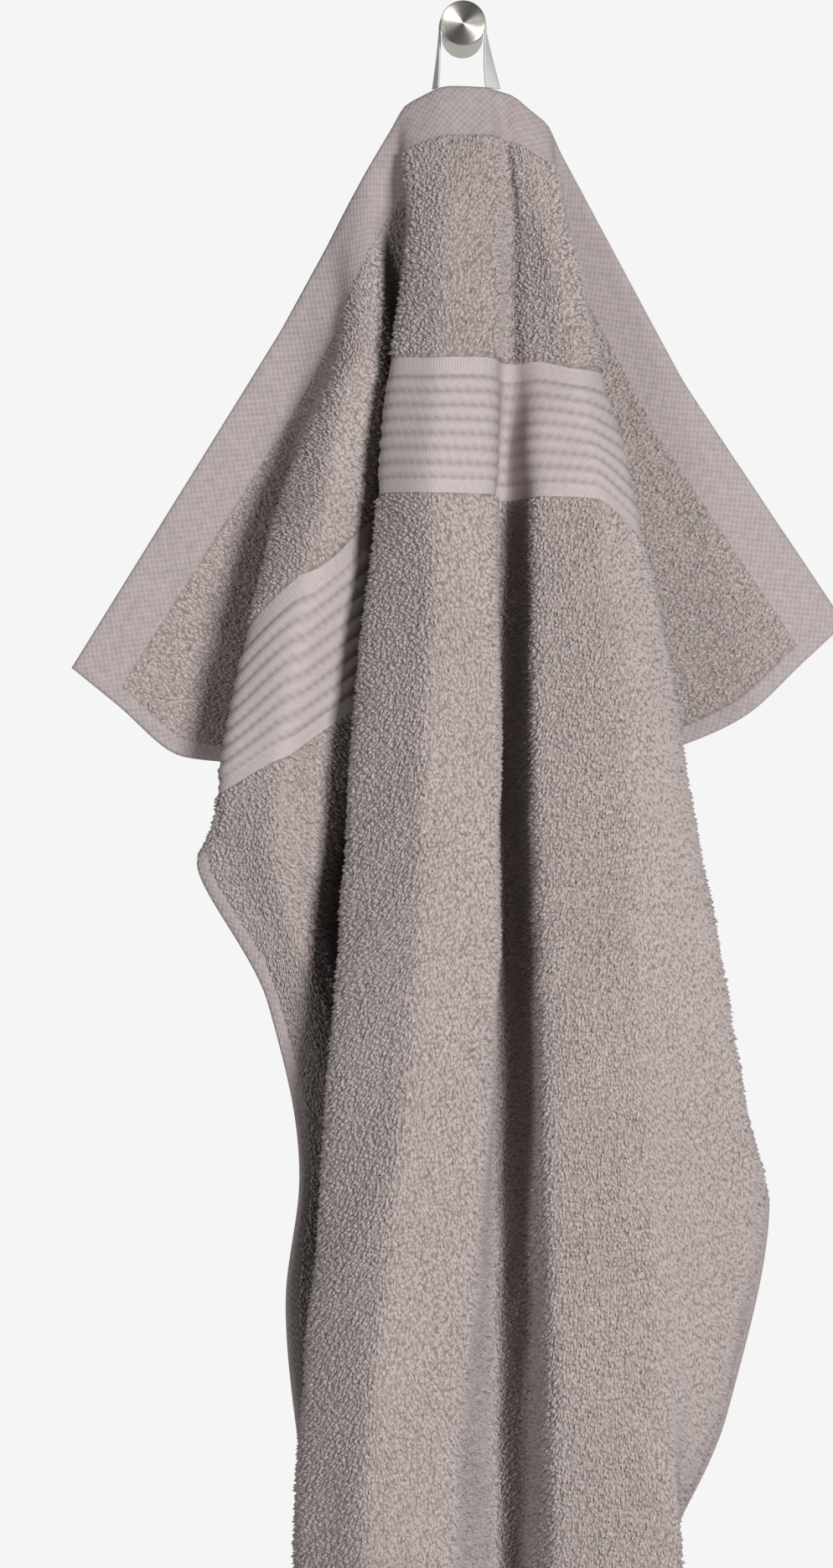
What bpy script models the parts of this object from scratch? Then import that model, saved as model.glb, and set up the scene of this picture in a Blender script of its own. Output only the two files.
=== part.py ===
"""A terry hand towel that hangs by its loop from a round wall knob.

The towel is one sheet of cloth. Its shape is a net: each fold of the drape is one row of FOLDS, which
follows the fold down from the top hem at fixed distances along the cloth. Smooth curves run through
the net, first across the towel and then down it, and Solidify gives the sheet its thickness.
"""

import math

import bpy
import numpy as np

MM = 0.001

# The cloth, in millimetres, flat
TOWEL_WIDTH = 500.0
TOWEL_LENGTH = 700.0
PILE_THICKNESS = 3.4
FLAT_THICKNESS = 2.0
HEADER_WIDTH = 19.0
BAND_TOP = 100.0
BAND_BOTTOM = 150.0
EDGE_HEM = 6.0
FOOT_SPREAD = 1.05
TURN_GAP = 2.2
SMALL_GAP = 1.0
MOST_OF_PANEL = 0.3

# The knob, in millimetres: its axis is the Y axis and the wall is the plane Y = 0
KNOB_REACH = 28.0
KNOB_RADIUS = 8.0
SHANK_RADIUS = 7.5
HEAD_LENGTH = 6.0
RIM_BEVEL = 0.8
FACE_DISH = 0.7
KNOB_STEPS = 40

# The hanging loop, a tape that lies over the shank and is sewn to the top hem
TAPE_WIDTH = 6.0
TAPE_THICKNESS = 0.8
TAPE_CLEARANCE = 0.4
LOOP_DEPTH = 14.5
LOOP_FOOT_DROP = 20.5
LOOP_LEG_STEPS = 8
LOOP_ARC_STEPS = 14

# The loop's two feet on the hem: how far across, and how far the tape has turned there, in degrees
LOOP_FEET = {
    "left": (-9.7, 20.0),
    "right": (10.8, -58.0),
}

# Distances down the cloth, from the top hem, at which every fold is measured
STATIONS = (0.0, 20.0, 50.0, 100.0, 130.0, 168.0, 225.0, 290.0, 335.0, 410.0, 500.0)

# One row for each fold, left to right. At each station: (across, out from the wall, below the knob's axis)
FOLDS = {
    "left_edge": ((-141, 9, 229), (-125, 9, 242), (-101, 10, 261), (-63, 9, 266), (-75, 19, 286),
                  (-94, 36, 299), (-69, 33, 349), (-58, 31, 411), (-63, 28, 456), (-56, 25, 529),
                  (-50, 21, 612)),
    "corner_fold": ((-66, 8, 108), (-62, 9, 142), (-56, 10, 187), (-50, 11, 250), (-72, 28, 272),
                    (-91, 38, 296), (-65, 35, 344), (-53, 29, 405), (-54, 24, 450), (-48, 20, 522),
                    (-42, 16, 606)),
    "panel_edge": ((-50, 9, 79), (-45, 17, 112), (-59, 30, 156), (-75, 38, 216), (-82, 41, 254),
                   (-86, 41, 292), (-61, 37, 337), (-47, 27, 398), (-43, 18, 443), (-38, 15, 515),
                   (-32, 13, 600)),
    "panel_crown": ((-43, 10, 66), (-40, 22, 98), (-44, 38, 138), (-54, 50, 196), (-60, 52, 236),
                    (-66, 51, 284), (-56, 38, 330), (-40, 24, 391), (-31, 14, 436), (-26, 13, 508),
                    (-20, 11, 592)),
    "panel_turn": ((-35, 11, 51), (-32, 18, 79), (-28, 29, 118), (-33, 34, 177), (-36, 36, 219),
                   (-40, 36, 265), (-50, 33, 323), (-30, 20, 383), (-14, 11, 426), (-10, 11, 498),
                   (-6, 10, 582)),
    "gap_floor": ((-31, 11, 44), (-28, 12, 71), (-24, 13, 112), (-29, 17, 171), (-31, 17, 211),
                  (-34, 17, 257), (-42, 17, 316), (-16, 13, 374), (3, 10, 416), (5, 10, 488), (6, 9, 573)),
    "hidden_fold": ((-26, 12, 36), (-20, 13, 60), (-9, 14, 95), (1, 18, 149), (2, 19, 187), (2, 19, 227),
                    (3, 19, 292), (10, 15, 358), (18, 12, 404), (20, 12, 477), (20, 11, 565)),
    "column_edge": ((-20, 14, 27), (-20, 20, 46), (-19, 29, 71), (-24, 43, 122), (-27, 48, 151),
                    (-31, 52, 189), (-36, 57, 246), (-41, 60, 311), (-44, 62, 356), (-50, 60, 431),
                    (-56, 58, 521)),
    "column_crown": ((-7, 17, 21), (-7, 25, 41), (-7, 37, 69), (-9, 57, 122), (-10, 65, 151),
                     (-11, 71, 189), (-13, 77, 245), (-15, 79, 310), (-18, 80, 356), (-26, 81, 431),
                     (-34, 80, 521)),
    "column_turn": ((8, 16, 21), (9, 23, 41), (10, 33, 70), (9, 53, 122), (9, 60, 151), (9, 65, 189),
                    (10, 68, 245), (10, 69, 310), (8, 69, 356), (3, 68, 431), (-4, 67, 521)),
    "valley": ((13, 14, 22), (15, 17, 42), (17, 22, 70), (16, 37, 122), (14, 33, 151), (13, 31, 189),
               (12, 30, 245), (13, 29, 310), (13, 28, 357), (13, 28, 432), (12, 28, 522)),
    "ridge_turn": ((18, 15, 24), (20, 19, 43), (23, 25, 71), (27, 43, 122), (27, 49, 151), (26, 53, 189),
                   (26, 57, 245), (28, 59, 310), (29, 60, 357), (31, 60, 432), (33, 59, 522)),
    "ridge_crown": ((24, 15, 29), (26, 20, 47), (30, 28, 73), (40, 47, 125), (44, 52, 153), (49, 57, 190),
                    (57, 63, 247), (59, 64, 312), (60, 64, 359), (65, 63, 434), (71, 62, 524)),
    "flank_fold": ((30, 14, 34), (33, 18, 52), (37, 25, 78), (48, 37, 127), (57, 40, 163), (67, 42, 211),
                   (79, 43, 280), (92, 43, 352), (99, 42, 402), (91, 46, 470), (71, 50, 537)),
    "back_fold": ((36, 11, 45), (32, 11, 78), (24, 11, 125), (12, 10, 200), (10, 10, 241), (14, 13, 279),
                  (66, 33, 298), (88, 35, 363), (103, 37, 409), (93, 41, 479), (70, 40, 552)),
    "corner_sheet": ((80, 8, 126), (70, 8, 147), (54, 8, 175), (34, 7, 236), (21, 7, 263), (10, 11, 284),
                     (53, 23, 316), (84, 28, 374), (106, 33, 415), (92, 35, 487), (66, 30, 566)),
    "right_edge": ((138, 8, 213), (123, 8, 227), (101, 9, 247), (56, 8, 266), (30, 7, 279), (3, 8, 294),
                   (38, 15, 335), (80, 22, 386), (108, 30, 421), (93, 28, 495), (61, 22, 580)),
}
WIDE_PANELS = ("left_edge", "back_fold", "corner_sheet")
WIDE_STEPS = 4
PANEL_STEPS = 3

# Where the mesh has a line across the cloth
CLOTH_LINES = (0, 18, 22, 37, 52, 68, 84, 95, 101, 117, 133, 148, 154, 170, 188, 208, 228, 250,
               272, 295, 318, 341, 370, 405, 445, 490, 550, 620, 692, 700)

TOWEL_COLOUR = (0.353, 0.300, 0.292, 1.0)
TAPE_COLOUR = (0.78, 0.77, 0.76, 1.0)
STEEL_COLOUR = (0.60, 0.58, 0.55, 1.0)


def clear_scene():
    """Removes what the file held before."""
    for thing in list(bpy.data.objects):
        bpy.data.objects.remove(thing, do_unlink=True)


def make_material(name, colour, roughness, metallic=0.0):
    """A plain Principled finish."""
    material = bpy.data.materials.new(name)
    material.use_nodes = True
    shader = material.node_tree.nodes["Principled BSDF"]
    shader.inputs["Base Color"].default_value = colour
    shader.inputs["Roughness"].default_value = roughness
    shader.inputs["Metallic"].default_value = metallic
    return material


def finish_object(name, mesh, collection, material):
    """Puts a mesh in the scene as one named object."""
    thing = bpy.data.objects.new(name, mesh)
    collection.objects.link(thing)
    mesh.materials.clear()
    mesh.materials.append(material)
    return thing


def fold_net():
    """The folds' points as an array [station, fold, xyz] in millimetres, with the bottom hem added."""
    net = np.array([FOLDS[name] for name in FOLDS], float).transpose(1, 0, 2)
    net = np.stack([net[..., 0], -net[..., 1], -net[..., 2]], axis=-1)
    foot = net[-1].copy()
    foot[:, 0] *= FOOT_SPREAD
    foot[:, 2] -= TOWEL_LENGTH - STATIONS[-1]
    return np.concatenate([net, foot[None]])


def square_to(vector, line):
    """The unit direction of the part of a vector that is square to a line."""
    rest = vector - (vector @ line) * line
    return rest / (np.linalg.norm(rest) + 1e-6)


def with_turns(row, fold_lines):
    """Gives each fold of a row two points, further apart where the cloth turns back on itself."""
    points = []
    for i, point in enumerate(row):
        if i in (0, len(row) - 1):
            points.append(point)
            continue
        line = fold_lines[i] / np.linalg.norm(fold_lines[i])
        before, after = square_to(row[i - 1] - point, line), square_to(row[i + 1] - point, line)
        sharpness = (1.0 + before @ after) / 2.0
        room = min(np.linalg.norm(row[i - 1] - point), np.linalg.norm(row[i + 1] - point))
        gap = min(SMALL_GAP + TURN_GAP * sharpness, MOST_OF_PANEL * room)
        along = row[i + 1] - row[i - 1]
        through = (1.0 - sharpness) * along / np.linalg.norm(along) + sharpness * (after - before)
        through = through / (np.linalg.norm(through) + 1e-6)
        points += [point - through * gap, point + through * gap]
    return np.array(points)


def steps_between():
    """How many mesh steps each stretch of the row curve gets, in order."""
    names = list(FOLDS)
    steps = []
    for name in names[:-1]:
        steps.append(WIDE_STEPS if name in WIDE_PANELS else PANEL_STEPS)
        steps.append(1)
    return steps[:-1]


def curve_through(points, steps):
    """A centripetal Catmull-Rom curve through the points, sampled with the given steps per stretch."""
    ends = (2 * points[0] - points[1], 2 * points[-1] - points[-2])
    p = np.concatenate([ends[0][None], points, ends[1][None]])
    samples = []
    for i, count in enumerate(steps):
        a, b, c, d = p[i:i + 4]
        t = np.cumsum([0.0] + [max(np.linalg.norm(q - r), 1e-6) ** 0.5 for q, r in ((b, a), (c, b), (d, c))])
        for s in np.arange(count) / count:
            u = t[1] + (t[2] - t[1]) * s
            ab = (t[1] - u) / (t[1] - t[0]) * a + (u - t[0]) / (t[1] - t[0]) * b
            bc = (t[2] - u) / (t[2] - t[1]) * b + (u - t[1]) / (t[2] - t[1]) * c
            cd = (t[3] - u) / (t[3] - t[2]) * c + (u - t[2]) / (t[3] - t[2]) * d
            left = (t[2] - u) / (t[2] - t[0]) * ab + (u - t[0]) / (t[2] - t[0]) * bc
            right = (t[3] - u) / (t[3] - t[1]) * bc + (u - t[1]) / (t[3] - t[1]) * cd
            samples.append((t[2] - u) / (t[2] - t[1]) * left + (u - t[1]) / (t[2] - t[1]) * right)
    samples.append(points[-1])
    return np.array(samples)


def down_the_cloth(rows, stations, lines):
    """Joins the rows by curves that never swing past a station, and reads them at each line."""
    stations = np.asarray(stations, float)
    gaps = np.diff(stations)
    slopes = np.diff(rows, axis=0) / gaps[:, None, None]
    tangents = np.zeros_like(rows)
    tangents[0], tangents[-1] = slopes[0], slopes[-1]
    before, after = slopes[:-1], slopes[1:]
    w1 = (2 * gaps[1:] + gaps[:-1])[:, None, None]
    w2 = (gaps[1:] + 2 * gaps[:-1])[:, None, None]
    same = before * after > 0
    safe_before, safe_after = np.where(same, before, 1.0), np.where(same, after, 1.0)
    tangents[1:-1] = np.where(same, (w1 + w2) / (w1 / safe_before + w2 / safe_after), 0.0)
    made = []
    for line in lines:
        i = int(np.clip(np.searchsorted(stations, line, side="right") - 1, 0, len(gaps) - 1))
        h = gaps[i]
        s = (line - stations[i]) / h
        made.append((2 * s**3 - 3 * s**2 + 1) * rows[i] + (s**3 - 2 * s**2 + s) * h * tangents[i]
                    + (3 * s**2 - 2 * s**3) * rows[i + 1] + (s**3 - s**2) * h * tangents[i + 1])
    return np.array(made)


def is_flat_woven(line, across):
    """True on the header, the ribbed band and the side hems, which have no pile."""
    return (line <= HEADER_WIDTH or BAND_TOP <= line <= BAND_BOTTOM
            or line >= TOWEL_LENGTH - EDGE_HEM or across <= EDGE_HEM or across >= TOWEL_WIDTH - EDGE_HEM)


def make_towel(collection, material):
    """The draped sheet: a grid moved onto the net's surface, then thickened."""
    steps = steps_between()
    net = fold_net()
    fold_lines = np.gradient(net, STATIONS + (TOWEL_LENGTH,), axis=0)
    rows = np.array([curve_through(with_turns(row, lines), steps) for row, lines in zip(net, fold_lines)])
    surface = down_the_cloth(rows, STATIONS + (TOWEL_LENGTH,), CLOTH_LINES)
    line_count, column_count = surface.shape[:2]
    bpy.ops.mesh.primitive_grid_add(x_subdivisions=column_count - 1, y_subdivisions=line_count - 1, size=1.0)
    towel = bpy.context.object
    towel.name = "towel"
    mesh = towel.data
    mesh.name = "towel"
    lengths = np.linalg.norm(np.diff(surface, axis=1), axis=2).cumsum(axis=1)
    flat_group = towel.vertex_groups.new(name="pile")
    for vertex in mesh.vertices:
        column = round((vertex.co.x + 0.5) * (column_count - 1))
        line = round((0.5 - vertex.co.y) * (line_count - 1))
        across = lengths[line, column - 1] / lengths[line, -1] * TOWEL_WIDTH if column else 0.0
        flat = is_flat_woven(CLOTH_LINES[line], across)
        flat_group.add([vertex.index], FLAT_THICKNESS / PILE_THICKNESS if flat else 1.0, "REPLACE")
        vertex.co = surface[line, column] * MM
    for owner in list(towel.users_collection):
        owner.objects.unlink(towel)
    collection.objects.link(towel)
    mesh.materials.append(material)
    mesh.shade_smooth()
    sheet = towel.modifiers.new("thickness", "SOLIDIFY")
    sheet.thickness = PILE_THICKNESS * MM
    sheet.offset = 0.0
    sheet.vertex_group = "pile"
    sheet.thickness_vertex_group = 0.0
    return towel


def make_knob(collection, material):
    """The turned knob: a head with a bevelled rim and a dished face, on a shank that meets the wall."""
    profile = (
        (0.0, 0.0),
        (SHANK_RADIUS, 0.0),
        (SHANK_RADIUS, KNOB_REACH - HEAD_LENGTH - (KNOB_RADIUS - SHANK_RADIUS)),
        (KNOB_RADIUS, KNOB_REACH - HEAD_LENGTH),
        (KNOB_RADIUS, KNOB_REACH - RIM_BEVEL),
        (KNOB_RADIUS - RIM_BEVEL, KNOB_REACH),
        (KNOB_RADIUS * 0.45, KNOB_REACH - FACE_DISH * 0.6),
        (0.0, KNOB_REACH - FACE_DISH),
    )
    mesh = bpy.data.meshes.new("wall_knob")
    # Screw turns the profile about Z, and runs it down its outer side
    points = [(radius * MM, 0.0, -height * MM) for radius, height in profile]
    mesh.from_pydata(points, [(i, i + 1) for i in range(len(points) - 1)], [])
    knob = finish_object("wall_knob", mesh, collection, material)
    knob.rotation_euler = (-math.pi / 2, 0.0, 0.0)
    turn = knob.modifiers.new("turned", "SCREW")
    turn.steps = turn.render_steps = KNOB_STEPS
    turn.use_merge_vertices = True
    turn.merge_threshold = 0.00005
    turn.use_smooth_shade = True
    return knob


def loop_leg(foot, turn, radius):
    """Rows of (across, height, turn) from a foot of the loop up to the shank's side."""
    side = math.copysign(radius, foot)
    rows = []
    for i in range(LOOP_LEG_STEPS):
        share = 1.0 - i / LOOP_LEG_STEPS
        rows.append((side + (foot - side) * share**1.5, -LOOP_FOOT_DROP * share, math.radians(turn) * share))
    return rows


def loop_route():
    """The middle of the tape from the left foot over the shank to the right foot."""
    radius = SHANK_RADIUS + TAPE_CLEARANCE + TAPE_THICKNESS / 2
    left, right = (loop_leg(*LOOP_FEET[side], radius) for side in ("left", "right"))
    arc = []
    for i in range(LOOP_ARC_STEPS + 1):
        angle = math.pi - math.pi * i / LOOP_ARC_STEPS
        arc.append((radius * math.cos(angle), radius * math.sin(angle), 0.0))
    return left + arc + right[::-1]


def make_loop(collection, material):
    """The tape: a ribbon along the route, its legs turned towards the hem, then thickened."""
    route = loop_route()
    bpy.ops.mesh.primitive_grid_add(x_subdivisions=2, y_subdivisions=len(route) - 1, size=1.0)
    loop = bpy.context.object
    loop.name = "hanging_loop"
    mesh = loop.data
    mesh.name = "hanging_loop"
    for vertex in mesh.vertices:
        x, z, turn = route[round((vertex.co.y + 0.5) * (len(route) - 1))]
        reach = vertex.co.x * TAPE_WIDTH
        vertex.co = ((x + reach * math.sin(turn)) * MM, (-LOOP_DEPTH - reach * math.cos(turn)) * MM, z * MM)
    for owner in list(loop.users_collection):
        owner.objects.unlink(loop)
    collection.objects.link(loop)
    mesh.materials.append(material)
    mesh.shade_smooth()
    tape = loop.modifiers.new("thickness", "SOLIDIFY")
    tape.thickness = TAPE_THICKNESS * MM
    tape.offset = 0.0
    tape.use_even_offset = True
    return loop


def main():
    """Builds the three pieces."""
    clear_scene()
    collection = bpy.data.collections.new("towel_on_knob")
    bpy.context.scene.collection.children.link(collection)
    make_towel(collection, make_material("terry_cotton", TOWEL_COLOUR, 0.95))
    make_loop(collection, make_material("cotton_tape", TAPE_COLOUR, 0.85))
    make_knob(collection, make_material("brushed_steel", STEEL_COLOUR, 0.3, 1.0))


main()
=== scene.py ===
import logging
import math
from dataclasses import dataclass
from enum import Enum
from typing import Any

import bmesh
import bpy
import numpy as np
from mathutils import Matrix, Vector


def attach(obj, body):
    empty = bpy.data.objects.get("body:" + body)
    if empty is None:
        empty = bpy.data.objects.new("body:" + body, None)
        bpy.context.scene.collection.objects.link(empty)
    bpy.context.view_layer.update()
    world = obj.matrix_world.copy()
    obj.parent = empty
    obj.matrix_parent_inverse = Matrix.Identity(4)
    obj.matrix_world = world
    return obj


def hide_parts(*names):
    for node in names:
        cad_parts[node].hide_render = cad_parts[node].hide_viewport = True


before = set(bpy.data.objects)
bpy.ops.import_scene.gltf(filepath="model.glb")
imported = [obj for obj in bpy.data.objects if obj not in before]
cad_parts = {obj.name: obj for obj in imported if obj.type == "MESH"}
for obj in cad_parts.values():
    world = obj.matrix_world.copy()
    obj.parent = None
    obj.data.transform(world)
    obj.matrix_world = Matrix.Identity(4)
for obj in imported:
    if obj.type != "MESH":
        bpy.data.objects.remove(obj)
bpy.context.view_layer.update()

MM = 0.001
ROOT = "root"
log = logging.getLogger("towel")


class Side(Enum):
    """Which face of the cloth something stands on, as the sign of the cloth's normal."""

    FACE = 1.0
    BACK = -1.0


class Weave(Enum):
    """The weaves of the towel, as the material slots of its cloth."""

    TERRY = 0
    STRIP = 1
    BAND = 2
    HEM = 3


def linear(colour: str) -> tuple[float, float, float, float]:
    """Turns an sRGB colour such as #a39896 to linear values.

    Args:
        colour: six hex digits after a hash.

    Returns:
        Red, green, blue and an alpha of one.
    """
    parts = [int(colour[i:i + 2], 16) / 255 for i in (1, 3, 5)]
    red, green, blue = (c / 12.92 if c <= 0.04045 else ((c + 0.055) / 1.055) ** 2.4 for c in parts)
    return red, green, blue, 1.0


def add_node(tree: bpy.types.NodeTree, kind: str, links: dict[Any, Any] | None = None,
             **settings: Any) -> Any:
    """Adds a node, sets it up and links its inputs.

    Args:
        tree: the node tree that gets it.
        kind: the node's type name.
        links: input name or number to an output socket, or to a plain value.
        settings: the node's own settings.

    Returns:
        The new node.
    """
    node = tree.nodes.new(kind)
    for name, value in settings.items():
        setattr(node, name, value)
    for name, value in (links or {}).items():
        if isinstance(value, bpy.types.NodeSocket):
            tree.links.new(value, node.inputs[name])
        else:
            node.inputs[name].default_value = value
    return node


def new_material(name: str) -> tuple[bpy.types.Material, bpy.types.NodeTree, Any]:
    """Makes an empty Principled material.

    Args:
        name: the finish's name.

    Returns:
        The material, its node tree and its shader node.
    """
    material = bpy.data.materials.new(name)
    material.use_nodes = True
    return material, material.node_tree, material.node_tree.nodes["Principled BSDF"]


def set_sockets(shader: Any, **values: Any) -> None:
    """Sets plain values on a shader, with _ for a space in each socket's name."""
    for name, value in values.items():
        shader.inputs[name.replace("_", " ")].default_value = value


def ramp(tree: bpy.types.NodeTree, factor: Any, stops: dict[float, str]) -> Any:
    """Adds a colour ramp.

    Args:
        tree: the node tree.
        factor: the socket that drives it.
        stops: position to hex colour, from low to high.

    Returns:
        The ramp's colour socket.
    """
    node = add_node(tree, "ShaderNodeValToRGB", {"Fac": factor})
    elements = node.color_ramp.elements
    while len(elements) < len(stops):
        elements.new(0.5)
    for element, (position, colour) in zip(elements, stops.items()):
        element.position = position
        element.color = linear(colour)
    return node.outputs["Color"]


def weave_axes(tree: bpy.types.NodeTree) -> tuple[Any, Any, Any]:
    """Reads where a point is on the flat cloth.

    Args:
        tree: the node tree.

    Returns:
        The distance across and down the cloth in millimetres, and both as one vector.
    """
    uv = add_node(tree, "ShaderNodeUVMap", uv_map="cloth").outputs["UV"]
    in_mm = (1 / MM, 1 / MM, 1 / MM)
    scaled = add_node(tree, "ShaderNodeVectorMath", {0: uv, 1: in_mm}, operation="MULTIPLY")
    apart = add_node(tree, "ShaderNodeSeparateXYZ", {"Vector": scaled.outputs["Vector"]})
    return apart.outputs["X"], apart.outputs["Y"], scaled.outputs["Vector"]


def math_node(tree: bpy.types.NodeTree, operation: str, *values: Any) -> Any:
    """Adds a Math node on its values and gives its output socket."""
    return add_node(tree, "ShaderNodeMath", dict(enumerate(values)), operation=operation).outputs["Value"]


@dataclass(frozen=True)
class TerryCotton:
    """Ring-spun cotton with loop pile on both faces: matt, with painted shade at the loops' roots and in
    the gaps between pale loop tops.
    """

    loop_tip: str = "#cabfbd"
    loop_mid: str = "#b5aaa7"
    # painted shade: the root colour darkens the loops' feet and, in the ground, the sides of its bumps
    loop_root_shade: str = "#998e8b"
    # painted shade: the colour of the gaps between the loops
    gap: str = "#7a6f6c"
    loop_pitch_mm: float = 1.5

    def pile(self) -> bpy.types.Material:
        """Builds the finish of the loops, whose colour runs from a root darkened as painted shade to a pale
        tip, and differs from loop to loop.

        Returns:
            The material.
        """
        material, tree, shader = new_material("terry_pile")
        tone = add_node(tree, "ShaderNodeAttribute", attribute_name="tone").outputs["Fac"]
        # painted shade at the roots: the ramp runs from the darkened root to the pale tip
        colour = ramp(tree, tone, {0.0: self.loop_root_shade, 0.45: self.loop_mid, 1.0: self.loop_tip})
        tree.links.new(colour, shader.inputs["Base Color"])
        set_sockets(shader, Roughness=0.97, Specular_IOR_Level=0.1, Sheen_Weight=0.04, Sheen_Roughness=0.6)
        return material

    def ground(self) -> bpy.types.Material:
        """Builds the finish of the cloth under the loops: small rounded bumps with painted shade in the
        gaps between them.

        Returns:
            The material.
        """
        material, tree, shader = new_material("terry_ground")
        vector = weave_axes(tree)[2]
        cells = add_node(tree, "ShaderNodeTexVoronoi", {"Vector": vector, "Scale": 1.0 / self.loop_pitch_mm,
                                                         "Randomness": 0.8}, feature="F1")
        from_top = cells.outputs["Distance"]
        # painted shade: the colour darkens from each bump's top to the gaps around it
        colour = ramp(tree, from_top, {0.0: self.loop_mid, 0.5: self.loop_root_shade, 1.0: self.gap})
        tree.links.new(colour, shader.inputs["Base Color"])
        bump = add_node(tree, "ShaderNodeBump", {"Height": from_top, "Strength": 0.8, "Distance": 0.8 * MM},
                        invert=True)
        tree.links.new(bump.outputs["Normal"], shader.inputs["Normal"])
        set_sockets(shader, Roughness=0.97, Specular_IOR_Level=0.1)
        return material


@dataclass(frozen=True)
class FlatWeave:
    """Cotton woven without pile: smoother and paler than terry, with a small basket pattern."""

    light: str = "#b3a8a6"
    dark: str = "#94898a"
    thread_mm: float = 1.25

    def material(self) -> bpy.types.Material:
        """Builds a basket weave as small checks over both thread directions, under a soft unevenness.

        Returns:
            The material.
        """
        material, tree, shader = new_material("flat_weave_cotton")
        across, down, vector = weave_axes(tree)
        half_turn = math.pi / self.thread_mm
        warp = math_node(tree, "SINE", math_node(tree, "MULTIPLY", across, half_turn))
        weft = math_node(tree, "SINE", math_node(tree, "MULTIPLY", down, half_turn))
        height = math_node(tree, "MULTIPLY_ADD", math_node(tree, "MULTIPLY", warp, weft), 0.5, 0.5)
        cloud = add_node(tree, "ShaderNodeTexNoise", {"Vector": vector, "Scale": 0.35, "Detail": 3.0})
        checks = math_node(tree, "MULTIPLY", height, 0.35)
        mixed = math_node(tree, "MULTIPLY_ADD", cloud.outputs["Fac"], 0.7, checks)
        colour = ramp(tree, mixed, {0.15: self.dark, 0.7: self.light})
        tree.links.new(colour, shader.inputs["Base Color"])
        bump = add_node(tree, "ShaderNodeBump", {"Height": height, "Strength": 0.45, "Distance": 0.3 * MM})
        tree.links.new(bump.outputs["Normal"], shader.inputs["Normal"])
        set_sockets(shader, Roughness=0.92, Specular_IOR_Level=0.15, Sheen_Weight=0.04)
        return material


@dataclass(frozen=True)
class RibbedWeave:
    """The border band: cotton without pile, the palest part of the towel, with painted shade in the grooves
    between its ribs.
    """

    light: str = "#c2b7b5"
    dark: str = "#ada2a0"
    # painted shade: the colour of the grooves between the ribs
    groove_shade: str = "#a09593"
    thread_mm: float = 1.0
    dash_mm: float = 3.4
    margin_mm: float = 0.8

    def material(self, rib_first: float, rib_last: float, rib_pitch: float) -> bpy.types.Material:
        """Builds fine threads across the band, and painted shade in the grooves between its ribs, stronger
        along the rows of small dashes that the grooves hold.

        Args:
            rib_first: where the ribs start, in millimetres down the cloth.
            rib_last: where they end.
            rib_pitch: the distance from rib to rib.

        Returns:
            The material.
        """
        material, tree, shader = new_material("ribbed_band_cotton")
        across, down, vector = weave_axes(tree)
        thread = math_node(tree, "SINE", math_node(tree, "MULTIPLY", across, 2 * math.pi / self.thread_mm))
        slub = add_node(tree, "ShaderNodeTexNoise", {"Vector": vector, "Scale": 0.6, "Detail": 4.0})
        uneven = math_node(tree, "MULTIPLY", slub.outputs["Fac"], 0.8)
        height = math_node(tree, "MULTIPLY_ADD", thread, 0.25, uneven)
        plain = ramp(tree, height, {0.05: self.dark, 0.65: self.light})
        # painted shade: the grooves between the ribs are coloured darker, more so along the rows of dashes
        from_first = math_node(tree, "SUBTRACT", down, rib_first)
        phase = math_node(tree, "MULTIPLY", from_first, math.pi / rib_pitch)
        low = math_node(tree, "SUBTRACT", 1.0, math_node(tree, "ABSOLUTE", math_node(tree, "SINE", phase)))
        below_first = math_node(tree, "GREATER_THAN", down, rib_first - self.margin_mm)
        above_last = math_node(tree, "LESS_THAN", down, rib_last + self.margin_mm)
        inside = math_node(tree, "MULTIPLY", below_first, above_last)
        low = math_node(tree, "MULTIPLY", math_node(tree, "POWER", low, 0.9), inside)
        dash = math_node(tree, "SINE", math_node(tree, "MULTIPLY", across, 2 * math.pi / self.dash_mm))
        depth = math_node(tree, "MULTIPLY", low, math_node(tree, "MULTIPLY_ADD", dash, 0.25, 0.85))
        mixed = add_node(tree, "ShaderNodeMix", {"Factor": depth, "A": plain, "B": linear(self.groove_shade)},
                         data_type="RGBA")
        tree.links.new(mixed.outputs["Result"], shader.inputs["Base Color"])
        bump = add_node(tree, "ShaderNodeBump", {"Height": height, "Strength": 0.4, "Distance": 0.25 * MM})
        tree.links.new(bump.outputs["Normal"], shader.inputs["Normal"])
        set_sockets(shader, Roughness=0.85, Specular_IOR_Level=0.2, Sheen_Weight=0.05)
        return material


@dataclass(frozen=True)
class SewingThread:
    """Spun polyester thread: a little paler and glossier than the cotton."""

    light: str = "#bdb2b0"
    dark: str = "#a99e9c"

    def material(self) -> bpy.types.Material:
        """Builds the thread, with its fine twist as a noise on its tone.

        Returns:
            The material.
        """
        material, tree, shader = new_material("sewing_thread")
        place = add_node(tree, "ShaderNodeTexCoord").outputs["Object"]
        noise = add_node(tree, "ShaderNodeTexNoise", {"Vector": place, "Scale": 900.0})
        colour = ramp(tree, noise.outputs["Fac"], {0.3: self.dark, 0.7: self.light})
        tree.links.new(colour, shader.inputs["Base Color"])
        set_sockets(shader, Roughness=0.6, Specular_IOR_Level=0.4)
        return material


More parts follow.
